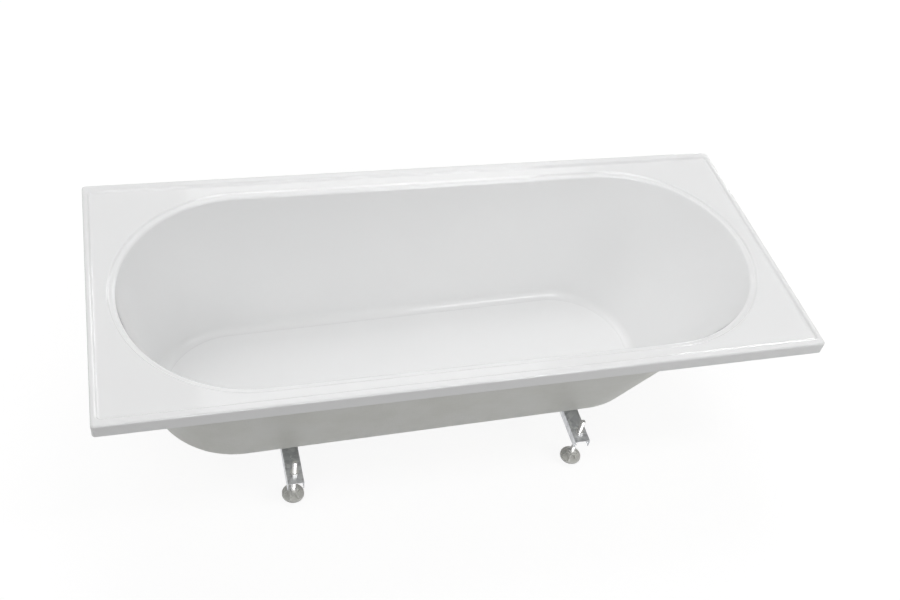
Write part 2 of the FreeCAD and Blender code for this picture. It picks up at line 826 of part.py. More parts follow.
def all_pieces():
    """Every node's name and shape."""
    pieces = {
        "acrylic_shell": acrylic_shell(),
        "fibreglass_backing": fibreglass_backing(),
        "rim_batten_front": side_batten(-1),
        "rim_batten_back": drilled_back_batten(),
        "rim_batten_drain_end": end_batten(-1),
        "rim_batten_backrest_end": end_batten(1),
        "base_board": base_board(),
        "base_board_wrap": base_wrap(),
        "cradle_drain_end": cradle(cradle_drain_x),
        "cradle_backrest_end": cradle(cradle_rest_x),
        "cradle_strip_drain_end": cradle_strip(cradle_drain_x),
        "cradle_strip_backrest_end": cradle_strip(cradle_rest_x),
        "centre_foot_bracket": hat_bracket(),
        "centre_foot_shims": hat_shim(),
        "base_screws": base_screws(),
        "weld_nuts": weld_nuts(),
        "lock_nuts": lock_nuts(),
        "wall_bracket_left": wall_bracket(-1),
        "wall_bracket_right": wall_bracket(1),
        "wall_bracket_screws": bracket_screws(),
        "waste_body": waste_body(),
        "waste_top_seal": waste_top_seal(),
        "waste_under_seal": waste_under_seal(),
        "waste_slip_washer": waste_slip_washer(),
        "waste_back_nut": waste_back_nut(),
        "plug_cartridge": plug_cartridge(),
        "plug_spring": plug_spring(),
        "plug_plunger": plug_plunger(),
        "plug_cap": plug_cap(),
        "plug_seal": plug_seal(),
    }
    for name, x, y, plate_z, above in foot_places():
        pieces["foot_stud_" + name] = foot_stud(x, y, plate_z, above)
        pieces["foot_pad_" + name] = foot_pad(x, y)
    return pieces


os.makedirs("parts", exist_ok=True)
for node, shape in all_pieces().items():
    shape.exportStep("parts/" + node + ".step")
    print(node, "solids", len(shape.Solids), "valid", shape.isValid(), "volume", round(shape.Volume))
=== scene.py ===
import json
import math

import bmesh
import bpy
import numpy as np
from mathutils import Matrix, Vector, noise


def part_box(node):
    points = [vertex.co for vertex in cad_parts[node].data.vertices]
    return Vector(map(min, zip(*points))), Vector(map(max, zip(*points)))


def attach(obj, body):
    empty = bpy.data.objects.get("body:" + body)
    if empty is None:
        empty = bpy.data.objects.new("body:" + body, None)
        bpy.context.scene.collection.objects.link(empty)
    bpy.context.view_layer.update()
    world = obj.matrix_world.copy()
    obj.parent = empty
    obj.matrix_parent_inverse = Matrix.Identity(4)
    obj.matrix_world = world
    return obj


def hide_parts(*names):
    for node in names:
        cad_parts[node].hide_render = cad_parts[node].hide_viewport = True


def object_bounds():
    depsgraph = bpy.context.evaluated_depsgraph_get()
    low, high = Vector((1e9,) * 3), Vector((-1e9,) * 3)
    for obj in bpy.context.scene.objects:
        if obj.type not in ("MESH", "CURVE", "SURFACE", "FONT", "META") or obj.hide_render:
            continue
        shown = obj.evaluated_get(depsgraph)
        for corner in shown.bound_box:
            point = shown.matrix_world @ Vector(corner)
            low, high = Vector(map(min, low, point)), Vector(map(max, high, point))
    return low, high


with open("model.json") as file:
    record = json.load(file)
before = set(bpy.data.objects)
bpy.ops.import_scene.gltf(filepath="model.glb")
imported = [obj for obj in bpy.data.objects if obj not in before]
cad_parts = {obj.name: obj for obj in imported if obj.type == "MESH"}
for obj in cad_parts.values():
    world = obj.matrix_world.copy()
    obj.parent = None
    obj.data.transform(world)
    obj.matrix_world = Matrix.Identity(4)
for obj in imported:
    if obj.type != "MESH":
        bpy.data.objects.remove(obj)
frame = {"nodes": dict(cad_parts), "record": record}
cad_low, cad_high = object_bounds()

# An inset acrylic bath on adjustable feet. x runs from the waste's end to the backrest, and y
# from the front to the back. Sizes are in millimetres until a mesh is made.
MM = 0.001

# The rim, from its turned-down lip inwards. BEAD_END and BEAD_SIDE lead from the rim's edge to
# the bead's upright face in the CAD; the foot of its softer flank here lies BEAD_FOOT past it.
LENGTH = 1650.0
WIDTH = 705.0
RIM_Z = cad_high.z / MM
CORNER_R = 8.0  # sharper than the CAD, as in the photo
LIP_DROP = 33.0
LIP_ROUND = 5.0
TRIM_ROUND = 0.5
TRIM_MIDDLE = 0.3 * TRIM_ROUND  # in and up, halfway round it
BEAD_HEIGHT = 8.0
BEAD_END = 14.0
BEAD_SIDE = 21.5
BEAD_FOOT = 4.5
BEAD_RUN = 11.5
STEP_R = 305.0
STEP_DROP = 5.0
STEP_RUN = 8.0
LIP_Z = RIM_Z - LIP_DROP
LEDGE_Z = RIM_Z - BEAD_HEIGHT

# The well: straight sides between two round ends. A lean is how far a wall comes in for each
# millimetre down.
ARC_X = 475.0
SHOULDER = 14.0
MOUTH_R = 7.0
MOUTH_Z = LEDGE_Z - STEP_DROP
MOUTH_SIDE = STEP_R - SHOULDER
SIDE_LEAN = math.tan(math.radians(14.5))
DRAIN_LEAN = math.tan(math.radians(9.5))
REST_LEAN = math.tan(math.radians(32.0))
COVE_R = 28.0
DEPTH = 385.0
FALL = math.tan(math.radians(1.3))
FLOOR_NORMAL = np.array([-FALL, 0.0, 1.0]) / math.hypot(FALL, 1.0)
FLOOR_ROWS = 7

# The flat of the floor stands proud of the cove. The profile of its edge gives how far in, as a
# share of the edge's width, and how high.
PLATEAU_EDGE = 1.6
PLATEAU_RISE = 0.7
PLATEAU_PROFILE = ((0.25, 0.02), (0.42, 0.18), (0.58, 0.52), (0.75, 0.68), (1.0, PLATEAU_RISE))

# The waste's dish in the floor. The profile of its edge gives how far outside the dish's radius
# and how far below the floor, that of its foot how far outside the seat and how far above it.
WASTE_X = -615.0
HOLE_R = 26.0
HOLE_ROUND = 0.4
DISH_R = 37.0
DISH_MARGIN = 3.0
DISH_DROP = 4.0
DISH_FLARE = 2.0
DISH_EDGE = ((1.6, 0.12), (0.6, 0.5), (-0.2, 1.2))
DISH_FOOT = ((0.5, 1.2), (-0.1, 0.4), (-1.0, 0.06), (-2.0, 0.0))

# Thicknesses. A laminate's skin sinks by its lumps: their depth, then each noise's scale and
# its share, round a level.
SHEET = 4.0
LAMINATE = 3.0
LUMP_LEVEL = 0.5
WELL_LUMPS = (0.55, ((38.0, 0.5), (110.0, 0.35)))
BOARD_LUMPS = (0.4, ((45.0, 0.5),))

# The laminate round the base board. UNDER and INNER are the insets of the rows that cross its
# bottom, outside and inside.
BOARD_LOW_X = -521.7
BOARD_HIGH_X = 442.4
BOARD_HALF_Y = 152.7
BOARD_CORNER = 42.0
BOARD_DEEP = 18.0
BOARD_SKIN = 1.9
BOARD_ROUND = 5.0
BOARD_UNDER = (12.0, 24.0, 36.0)
BOARD_INNER = (36.0, 20.0)

BATTEN_EDGE = 1.2
LONG_BATTENS = ("rim_batten_front", "rim_batten_back")
CROSS_BATTENS = ("rim_batten_drain_end", "rim_batten_backrest_end")

# The feet. A stud keeps a slack inside the CAD's cylinder. Its thread is a triangle wave, made
# steeper and lowered, then cut off at the crest and the root.
STUD_R = 6.0
STUD_SLACK = 0.05
STUD_PITCH = 1.75
STUD_HEX_Z = 20.3
STUD_HEX_HEIGHT = 8.0
STUD_OVERLAP = 0.5
THREAD_DEPTH = 0.85
THREAD_STEEPNESS = 1.25
THREAD_LOWERING = 0.12
THREAD_CHAMFER = 1.0
SHANK_CHAMFER = 0.8
FOOT_TRAVEL = 20.0

# A hexagon's corners are turned off for a share of its width. There its radius is limited, as a
# share of its inner radius, and the limit widens away from the end. STEPS are the rows' heights.
HEX_TURNED = 0.06
HEX_STEPS = (0.0, 0.35, 1.0)
HEX_END = 0.97
HEX_WIDENING = 0.19

# The angles in degrees from which an edge counts as sharp. The battens' sharp edges are planed.
SHARP_SHELL = 40.0
SHARP_LAMINATE = 50.0
SHARP_STUD = 35.0
SHARP_BATTEN = 50.0


def floor_z(x):
    """The height of the floor on the show side, below its raised flat."""
    return RIM_Z - DEPTH + (x - WASTE_X) * FALL


# ---- rows of points ---------------------------------------------------------

class Loops:
    """Closed rows of points round the bath, with a count per straight and per quarter circle.

    They start at the waste's end of the back's straight and run clockwise, seen from above.
    """

    def __init__(self, straight, quarter):
        self.straight = straight
        self.corner = quarter // 3
        self.long_rest = (quarter - self.corner) // 2
        self.short_rest = quarter - self.corner - self.long_rest
        self.count = 2 * straight + 4 * quarter
        turn = math.pi * np.arange(2 * quarter) / (2 * quarter)
        along = np.append(np.arange(straight) / straight, np.ones(2 * quarter))
        out_x = np.append(np.zeros(straight), np.sin(turn))
        out_y = np.append(np.ones(straight), np.cos(turn))
        self.along = np.append(along, 1 - along)
        self.out_x = np.append(out_x, -out_x)
        self.out_y = np.append(out_y, -out_y)

    def slot(self, r, z):
        """The well's outline in plan, at a radius and a height."""
        x = -ARC_X + 2 * ARC_X * self.along + r * self.out_x
        return np.column_stack((x, r * self.out_y, np.full(self.count, z)))

    def rect(self, inset_end, inset_side, r, z):
        """The rim's rectangle; its corners take the middle third of the slot's arcs."""
        x, y = LENGTH / 2 - inset_end, WIDTH / 2 - inset_side
        half = [(-ARC_X + 2 * ARC_X * i / self.straight, y) for i in range(self.straight)]
        quarter = [(ARC_X + (x - r - ARC_X) * i / self.long_rest, y)
                   for i in range(self.long_rest)]
        for i in range(self.corner):
            a = math.pi / 2 * (1 - i / self.corner)
            quarter.append((x - r + r * math.cos(a), y - r + r * math.sin(a)))
        quarter += [(x, (y - r) * (1 - i / self.short_rest)) for i in range(self.short_rest)]
        half += quarter + [(x, 0.0)] + [(px, -py) for px, py in reversed(quarter[1:])]
        return np.array([(px, py, z) for px, py in half] + [(-px, -py, z) for px, py in half])

    def wall(self):
        """Each point's line down the well's wall: its start at the mouth, slope and normal."""
        # how far the outline's middle line moves along x for each millimetre down, at its ends
        drain_shift = DRAIN_LEAN - SIDE_LEAN
        rest_shift = SIDE_LEAN - REST_LEAN
        shift = drain_shift + (rest_shift - drain_shift) * self.along
        slope = np.column_stack((shift - SIDE_LEAN * self.out_x, -SIDE_LEAN * self.out_y,
                                 np.full(self.count, -1.0)))
        normal = np.column_stack((-self.out_x, -self.out_y, SIDE_LEAN - shift * self.out_x))
        normal /= np.linalg.norm(normal, axis=1)[:, None]
        return self.slot(MOUTH_SIDE, MOUTH_Z), slope, normal


def shares(count):
    """From 0 to 1 in equal steps."""
    return [k / count for k in range(count + 1)]


def between(a, b, count):
    """Rows strictly between two rows."""
    return [a + (b - a) * k / (count + 1) for k in range(1, count + 1)]


def slerp(a, b, share):
    """Unit vectors between unit vectors, row by row; one side may be a single vector."""
    angle = np.arccos(np.clip(np.sum(a * b, axis=1), -1, 1))[:, None]
    return (np.sin((1 - share) * angle) * a + np.sin(share * angle) * b) / np.sin(angle)


def quarter_round(radius, count):
    """Points up a quarter circle: how far in and how far up, from its foot."""
    angles = [s * math.pi / 2 for s in shares(count)]
    return [(radius * (1 - math.cos(a)), radius * math.sin(a)) for a in angles]


def s_curve(run, drop, count):
    """Points down an S of two equal arcs: how far in and how far down, from its top."""
    turn = 2 * math.atan2(drop, run)
    radius = run / 2 / math.sin(turn)
    upper = [(radius * math.sin(turn * s), radius * (1 - math.cos(turn * s)))
             for s in shares(count)]
    return upper + [(run - x, drop - z) for x, z in reversed(upper[:-1])]


# ---- the moulding and its laminate ------------------------------------------

def rim_show_rows(loops):
    """The lip, the raised bead, the ledge and the step, from the lip's trimmed edge inwards."""
    rows = [loops.rect(TRIM_ROUND, TRIM_ROUND, CORNER_R - TRIM_ROUND, LIP_Z),
            loops.rect(TRIM_MIDDLE, TRIM_MIDDLE, CORNER_R, LIP_Z + TRIM_MIDDLE),
            loops.rect(0, 0, CORNER_R, LIP_Z + TRIM_ROUND)]
    face_top = RIM_Z - LIP_ROUND
    rows += between(rows[-1], loops.rect(0, 0, CORNER_R, face_top), count=3)
    rows += [loops.rect(inset, inset, CORNER_R - inset, face_top + up)
             for inset, up in quarter_round(LIP_ROUND, count=8)]
    for inward, down in s_curve(BEAD_RUN, BEAD_HEIGHT, count=7):
        inset = inward + BEAD_FOOT - BEAD_RUN
        rows.append(loops.rect(BEAD_END + inset, BEAD_SIDE + inset,
                               CORNER_R + BEAD_FOOT - BEAD_RUN / 2 - inset, RIM_Z - down))
    step_top = STEP_R + STEP_RUN / 2
    rows += between(rows[-1], loops.slot(step_top, LEDGE_Z), count=3)
    rows += [loops.slot(step_top - inward, LEDGE_Z - down)
             for inward, down in s_curve(STEP_RUN, STEP_DROP, count=6)]
    return rows


def well_rows(loops, grow, wall_count, cove_count):
    """The mouth's round, the wall and the cove, moved out by grow; the back has no round."""
    start, slope, normal = loops.wall()
    if grow:
        top = start - grow * normal
        rows = [top + slope * (top[:, 2] - (MOUTH_Z - grow))[:, None]]
    else:
        down = MOUTH_R * (1 - normal[:, 2])
        centre = start + slope * down[:, None] - MOUTH_R * normal
        up = np.array([0.0, 0.0, 1.0])
        rows = [centre + MOUTH_R * slerp(up, normal, s) for s in shares(count=8)]
    on_floor = np.array([0.0, 0.0, floor_z(0)])
    gap = COVE_R - (start + COVE_R * normal - on_floor) @ FLOOR_NORMAL
    foot = gap / (slope @ FLOOR_NORMAL)
    centre = start + slope * foot[:, None] + COVE_R * normal
    cove = [centre - (COVE_R + grow) * slerp(normal, FLOOR_NORMAL, s) for s in shares(cove_count)]
    return rows + between(rows[-1], cove[0], wall_count) + cove


def plateau_rows(edge):
    """The low step up to the flat of the floor, from the cove inwards."""
    along = np.roll(edge, -1, axis=0) - np.roll(edge, 1, axis=0)
    inward = np.cross(along, FLOOR_NORMAL)
    inward /= np.linalg.norm(inward, axis=1)[:, None]
    return [edge + inward * PLATEAU_EDGE * share + FLOOR_NORMAL * rise
            for share, rise in PLATEAU_PROFILE]


def floor_rows(edge, grow):
    """From the floor's edge to the waste's dish and its hole.

    The back lies below the show side by grow and is plainer; grow is 0 for the show side.
    """
    angles = np.arctan2(edge[:, 1], edge[:, 0] - WASTE_X)
    floor = floor_z(WASTE_X) + (-grow / FLOOR_NORMAL[2] if grow else PLATEAU_RISE)
    seat = floor_z(WASTE_X) - DISH_DROP - grow
    outer = DISH_R + grow
    foot = outer - DISH_FLARE

    def ring(r, z, fall=0.0):
        """A circle round the waste, level or with the floor's fall."""
        plan = [(WASTE_X + r * math.cos(a), r * math.sin(a)) for a in angles]
        return np.array([(x, y, z + (x - WASTE_X) * fall) for x, y in plan])

    margin = ring(outer + DISH_MARGIN, floor, FALL)
    rows = between(edge, margin, FLOOR_ROWS) + [margin]
    if grow:
        return rows + [ring(outer, floor, FALL), ring(foot, seat), ring(HOLE_R, seat)]
    rows += [ring(outer + out, floor - down, FALL) for out, down in DISH_EDGE]
    rows += [ring(foot + out, seat + up) for out, up in DISH_FOOT]
    return rows + [ring(HOLE_R + HOLE_ROUND, seat), ring(HOLE_R, seat - HOLE_ROUND)]


def well_back_rows(loops, grow, wall_count, cove_count):
    """The back of the well, from its hole out to the step, at a distance behind the show face."""
    well = well_rows(loops, grow, wall_count, cove_count)
    rows = (well + floor_rows(well[-1], grow))[::-1]
    return rows + [loops.slot(STEP_R + grow, z - grow) for z in (MOUTH_Z, LEDGE_Z)]


def bead_back_rows(loops):
    """The back of the bead and of the rim's top, from under the ledge out to the lip."""
    bead_end, bead_side = BEAD_END - SHEET, BEAD_SIDE - SHEET
    return [loops.rect(bead_end, bead_side, CORNER_R, LEDGE_Z - SHEET),
            loops.rect(bead_end, bead_side, CORNER_R, RIM_Z - SHEET),
            loops.rect(SHEET, SHEET, CORNER_R - SHEET, RIM_Z - SHEET)]


def linked(name, data):
    """A new object in the scene."""
    obj = bpy.data.objects.new(name, data)
    bpy.context.scene.collection.objects.link(obj)
    return obj


def mesh_from_rows(name, rows, open_after=None):
    """An object in metres, with quads from row to row and from the last row to the first.

    Where it is open after a row, a flat face closes that row, and another the next one.
    """
    count = len(rows[0])
    firsts = [r * count for r in range(len(rows))]
    faces = []
    for r, (a, b) in enumerate(zip(firsts, firsts[1:] + firsts[:1])):
        if r == open_after:
            faces.append(tuple(b + i for i in reversed(range(count))))
            faces.append(tuple(a + i for i in range(count)))
        else:
            faces += [(a + i, a + (i + 1) % count, b + (i + 1) % count, b + i)
                      for i in range(count)]
    me = bpy.data.meshes.new(name)
    me.from_pydata([tuple(v) for v in np.vstack(rows) * MM], [], faces)
    me.validate()
    bm = bmesh.new()
    bm.from_mesh(me)
    bmesh.ops.recalc_face_normals(bm, faces=bm.faces)
    bm.to_mesh(me)
    bm.free()
    return linked(name, me)


def smooth(obj, sharp):
    """Smooth shading but for sharp edges, with normals weighted by the faces' areas."""
    me = obj.data
    me.polygons.foreach_set("use_smooth", [True] * len(me.polygons))
    me.set_sharp_from_angle(angle=math.radians(sharp))
    mod = obj.modifiers.new("weighted", "WEIGHTED_NORMAL")
    mod.mode = "FACE_AREA"
    mod.keep_sharp = True
    me.update()
    return obj


def roughen(obj, first, last, lumps):
    """Sinks the vertices from first to last unevenly, as resin leaves a laminate's skin."""
    depth, octaves = lumps
    normals = [v.normal.copy() for v in obj.data.vertices]
    for v in obj.data.vertices[first:last]:
        lump = sum((share * noise.noise(v.co * scale) for scale, share in octaves), LUMP_LEVEL)
        v.co -= normals[v.index] * max(0.0, lump) * depth * MM


def bath_shell():
    """The moulding, and which of its faces lie on the flat of the floor."""
    loops = Loops(straight=48, quarter=30)
    rows = rim_show_rows(loops) + well_rows(loops, 0.0, wall_count=14, cove_count=14)
    rows += plateau_rows(rows[-1])
    flat_from = len(rows) - 1
    flat_to = flat_from + FLOOR_ROWS + 1
    rows += floor_rows(rows[-1], 0.0)
    rows += well_back_rows(loops, SHEET, wall_count=6, cove_count=6) + bead_back_rows(loops)
    rows.append(loops.rect(SHEET, SHEET, CORNER_R - SHEET, LIP_Z))
    obj = smooth(mesh_from_rows("bath_shell", rows), SHARP_SHELL)
    return obj, slice(flat_from * loops.count, flat_to * loops.count)


def laminate_skin():
    """The hand-laid laminate on the back of the moulding, uneven on its outer face."""
    loops = Loops(straight=96, quarter=60)
    inner = well_back_rows(loops, SHEET, wall_count=12, cove_count=6) + bead_back_rows(loops)
    outer = well_back_rows(loops, SHEET + LAMINATE, wall_count=26, cove_count=12)[::-1]
    edge = loops.rect(SHEET, SHEET, CORNER_R - SHEET, LEDGE_Z - SHEET - LAMINATE)
    rows = inner + [edge] + between(edge, outer[0], count=4) + outer
    obj = mesh_from_rows("laminate_skin", rows)
    roughen(obj, (len(inner) + 1) * loops.count, None, WELL_LUMPS)
    return smooth(obj, SHARP_LAMINATE)


# ---- the laminate round the base board --------------------------------------

def tray_outline(inset, per_corner=10, per_side=13):
    """A rounded rectangle in plan, by its inset from the board's laminate."""
    r = BOARD_CORNER - inset
    x0, x1 = BOARD_LOW_X + inset + r, BOARD_HIGH_X - inset - r
    y = BOARD_HALF_Y - inset - r

    def on_arc(x, y, degrees):
        a = math.radians(degrees)
        return np.array([x + r * math.cos(a), y + r * math.sin(a)])

    corners = [(x1, y, 0), (x0, y, 90), (x0, -y, 180), (x1, -y, 270)]
    pts = []
    for (cx, cy, start), following in zip(corners, corners[1:] + corners[:1]):
        pts += [on_arc(cx, cy, start + 90 * s) for s in shares(per_corner)]
        pts += between(pts[-1], on_arc(*following), per_side)
    return pts


def board_tray():
    """The laminate over the base board: a tray under it, closed onto the back of the bath."""
    top = floor_z(BOARD_LOW_X) - (SHEET + LAMINATE) / FLOOR_NORMAL[2]
    under = -BOARD_DEEP
    edge = under + BOARD_ROUND
    outside = [(0.0, edge * s) for s in shares(count=4)]
    outside += [(inset, edge - down) for inset, down in quarter_round(BOARD_ROUND, count=5)[1:]]
    outside += [(inset, under) for inset in BOARD_UNDER]
    inside = [(inset, under + BOARD_SKIN) for inset in BOARD_INNER + (BOARD_SKIN,)]
    rows = [np.array([(x, y, top + z + (x - BOARD_LOW_X) * FALL) for x, y in tray_outline(inset)])
            for inset, z in [(BOARD_SKIN, 0.0)] + outside + inside]
    obj = mesh_from_rows("board_laminate", rows, open_after=len(outside))
    count = len(rows[0])
    roughen(obj, 2 * count, (len(outside) + 1) * count, BOARD_LUMPS)
    return smooth(obj, SHARP_LAMINATE)


# ---- the feet's studs -------------------------------------------------------

def rod_rows(x, y, low, high, depth, chamfer, sectors=24, per_pitch=8):
    """A round rod, from low to high, with a right-hand thread if it has a depth."""
    radius = STUD_R - STUD_SLACK
    steps = round((high - low) / STUD_PITCH * per_pitch)
    rows = []
    for k in range(steps + 1):
        z = low + (high - low) * k / steps
        ease = min(1.0, (z - low) / chamfer, (high - z) / chamfer)
        row = []
        for i in range(sectors):
            a = 2 * math.pi * i / sectors
            phase = (z / STUD_PITCH - i / sectors) % 1.0
            crest = THREAD_STEEPNESS * abs(2 * phase - 1) - THREAD_LOWERING
            groove = depth * (1 - min(1.0, max(0.0, crest)))
            r = radius - max(groove, chamfer * (1 - ease))
            row.append((x + r * math.cos(a), y + r * math.sin(a), z))
        rows.append(np.array(row))
    return rows


def hexagon_rows(x, y, across, low, high, sectors=72):
    """A hexagon whose corners are turned off at both ends."""
    inner = across / 2
    turned = HEX_TURNED * across
    insets = [share * turned for share in HEX_STEPS]
    rows = []
    for z in [low + inset for inset in insets] + [high - inset for inset in insets[::-1]]:
        ease = min(1.0, (z - low) / turned, (high - z) / turned)
        limit = inner * (HEX_END + HEX_WIDENING * ease)
        row = []
        for i in range(sectors):
            a = 2 * math.pi * i / sectors
            from_flat = (a + math.pi / 6) % (math.pi / 3) - math.pi / 6
            r = min(inner / math.cos(from_flat), limit)
            row.append((x + r * math.sin(a), y + r * math.cos(a), z))
        rows.append(np.array(row))
    return rows


def joined(name, parts):
    """Puts several meshes into one object."""
    bm = bmesh.new()
    for part in parts:
        bm.from_mesh(part.data)
        old = part.data
        bpy.data.objects.remove(part)
        bpy.data.meshes.remove(old)
    me = bpy.data.meshes.new(name)
    bm.to_mesh(me)
    bm.free()
    return linked(name, me)


def foot_stud(place):
    """A levelling stud with a coarse right-hand thread and a hexagon to turn it by."""
    low, high = (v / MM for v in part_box("foot_stud_" + place))
    x, y = (low.x + high.x) / 2, (low.y + high.y) / 2
    hex_top = STUD_HEX_Z + STUD_HEX_HEIGHT
    parts = {
        "screw": rod_rows(x, y, hex_top - STUD_OVERLAP, high.z, THREAD_DEPTH, THREAD_CHAMFER),
        "shank": rod_rows(x, y, low.z, STUD_HEX_Z + STUD_OVERLAP, 0.0, SHANK_CHAMFER, per_pitch=2),
        "drive": hexagon_rows(x, y, high.y - low.y, STUD_HEX_Z, hex_top),
    }
    parts = [mesh_from_rows(name, rows, open_after=len(rows) - 1) for name, rows in parts.items()]
    return smooth(joined("levelling_stud_" + place, parts), SHARP_STUD)


# ---- materials --------------------------------------------------------------

NOISE_SPAN = (0.3, 0.7)  # where most of a noise texture's values lie


class Nodes:
    """A material with its node tree, built by short calls."""

    def __init__(self, name):
        self.mat = bpy.data.materials.new(name)
        self.mat.use_nodes = True
        self.tree = self.mat.node_tree
        self.shader = self.tree.nodes["Principled BSDF"]

    def add(self, kind, **values):
        """A new node; a value is for the input of that name, or else for the property."""
        node = self.tree.nodes.new(kind)
        for key, value in values.items():
            if key in node.inputs:
                node.inputs[key].default_value = value
            else:
                setattr(node, key, value)
        return node

    def link(self, out_socket, in_socket):
        self.tree.links.new(out_socket, in_socket)

    def set(self, **values):
        """Sets the shader's inputs, with _ for the spaces in their names."""
        for key, value in values.items():
            self.shader.inputs[key.replace("_", " ")].default_value = value

    def noise(self, scale, detail=2.0, stretch=(1, 1, 1), distortion=0.0, roughness=0.5):
        """Noise per metre of the object; along an axis, a larger stretch makes it finer."""
        coords = self.add("ShaderNodeTexCoord")
        mapping = self.add("ShaderNodeMapping", Scale=stretch)
        self.link(coords.outputs["Object"], mapping.inputs["Vector"])
        tex = self.add("ShaderNodeTexNoise", Scale=scale, Detail=detail, Distortion=distortion,
                       Roughness=roughness)
        self.link(mapping.outputs["Vector"], tex.inputs["Vector"])
        return tex.outputs["Fac"]

    def cells(self, scale):
        """Voronoi cells: a colour for each, and the distance from its middle."""
        tex = self.add("ShaderNodeTexVoronoi", Scale=scale)
        coords = self.add("ShaderNodeTexCoord")
        self.link(coords.outputs["Object"], tex.inputs["Vector"])
        return tex.outputs["Color"], tex.outputs["Distance"]

    def spread(self, source, low, high, span=NOISE_SPAN):
        """Maps a span of the source to a range."""
        node = self.add("ShaderNodeMapRange")
        for key, value in zip(("From Min", "From Max", "To Min", "To Max"), (*span, low, high)):
            node.inputs[key].default_value = value
        self.link(source, node.inputs["Value"])
        return node.outputs["Result"]

    def colour(self, source, *stops):
        """Colours by the source; a stop is a value of it and the colour there."""
        ramp = self.add("ShaderNodeValToRGB")
        while len(ramp.color_ramp.elements) < len(stops):
            ramp.color_ramp.elements.new(0.5)
        for element, (place, shade) in zip(ramp.color_ramp.elements, stops):
            element.position = place
            element.color = (*shade, 1.0)
        self.link(source, ramp.inputs["Fac"])
        self.link(ramp.outputs["Color"], self.shader.inputs["Base Color"])

    def shades(self, source, first, second):
        """Two colours that run into each other with the source, a noise."""
        self.colour(source, (NOISE_SPAN[0], first), (NOISE_SPAN[1], second))

    def roughness(self, source, low, high):
        self.link(self.spread(source, low, high), self.shader.inputs["Roughness"])

    def bump(self, source, distance, strength, under=None):
        """A bump node, distance in metres, on top of another one if there is one under it."""
        node = self.add("ShaderNodeBump", Distance=distance, Strength=strength)
        self.link(source, node.inputs["Height"])
        if under is not None:
            self.link(under.outputs["Normal"], node.inputs["Normal"])
        return node

    def finish_bump(self, node):
        """Puts the last bump on the shader and gives the material."""
        self.link(node.outputs["Normal"], self.shader.inputs["Normal"])
        return self.mat


def acrylic(name, rough, coat):
    """White sheet with faint clouds, long waves and a fine orange peel."""
    m = Nodes(name)
    m.shades(m.noise(2.2), (0.905, 0.908, 0.910), (0.918, 0.920, 0.920))
    m.roughness(m.noise(9.0, 3.0), *rough)
    m.set(IOR=1.49, Coat_Weight=coat, Coat_Roughness=0.03)
    waves = m.bump(m.noise(7.0, 1.0), 0.0004, 0.25)
    return m.finish_bump(m.bump(m.noise(160.0, 1.0), 0.00002, 0.25, waves))


def laminate():
    """Chopped strand mat in resin: glass threads in three directions under an uneven skin."""
    m = Nodes("laminate")
    m.colour(m.noise(9.0, 5.0, roughness=0.62), (0.25, (0.755, 0.760, 0.710)),
             (0.5, (0.800, 0.805, 0.765)), (0.8, (0.835, 0.840, 0.815)))
    strands = [m.noise(5.0, 3.0, stretch, distortion=0.6)
               for stretch in ((9, 90, 60), (80, 11, 55), (60, 60, 12))]
    m.roughness(strands[0], 0.32, 0.55)
    m.set(IOR=1.52)
    node = None
    for strand in strands:
        node = m.bump(strand, 0.0007, 0.55, node)
    return m.finish_bump(m.bump(m.noise(30.0), 0.0015, 0.4, node))


def chips():
    """Chipboard: small flakes in three browns."""
    m = Nodes("chipboard")
    flakes, distance = m.cells(260.0)
    m.colour(flakes, (0.2, (0.33, 0.21, 0.11)), (0.5, (0.46, 0.32, 0.18)),
             (0.8, (0.62, 0.47, 0.29)))
    m.roughness(distance, 0.75, 0.92)
    return m.finish_bump(m.bump(distance, 0.0004, 0.6))


def pine(name, stretch):
    """Sawn softwood, with its grain along the axis of the least stretch."""
    m = Nodes(name)
    rings = m.noise(4.0, 3.0, stretch, distortion=1.2)
    fine = m.noise(28.0, 2.0, stretch)
    m.colour(rings, (0.25, (0.71, 0.53, 0.32)), (0.5, (0.62, 0.42, 0.22)),
             (0.62, (0.44, 0.26, 0.12)), (0.75, (0.67, 0.48, 0.27)))
    m.roughness(fine, 0.6, 0.82)
    return m.finish_bump(m.bump(fine, 0.0003, 0.5, m.bump(rings, 0.0006, 0.5)))


def spangle():
    """Hot-dip zinc on pressed steel: large faint crystals with a soft haze."""
    m = Nodes("zinc_steel")
    crystals, _ = m.cells(110.0)
    m.colour(crystals, (0.15, (0.50, 0.51, 0.53)), (0.5, (0.60, 0.61, 0.63)),
             (0.85, (0.70, 0.71, 0.72)))
    m.roughness(m.noise(24.0, 3.0), 0.28, 0.46)
    m.set(Metallic=1.0)
    return m.finish_bump(m.bump(m.noise(400.0), 0.0001, 0.35))


def metal(name, *shades, rough, grain, depth):
    """Plated or turned metal with a faint uneven film."""
    m = Nodes(name)
    film = m.noise(45.0, 3.0)
    m.shades(film, *shades)
    m.roughness(film, *rough)
    m.set(Metallic=1.0)
    return m.finish_bump(m.bump(m.noise(grain), depth, 0.3))


def moulded(name, *shades, rough, grain, depth):
    """Moulded rubber or nylon with a fine tool texture."""
    m = Nodes(name)
    patches = m.noise(60.0, 3.0)
    m.shades(patches, *shades)
    m.roughness(patches, *rough)
    return m.finish_bump(m.bump(m.noise(grain), depth, 0.4))


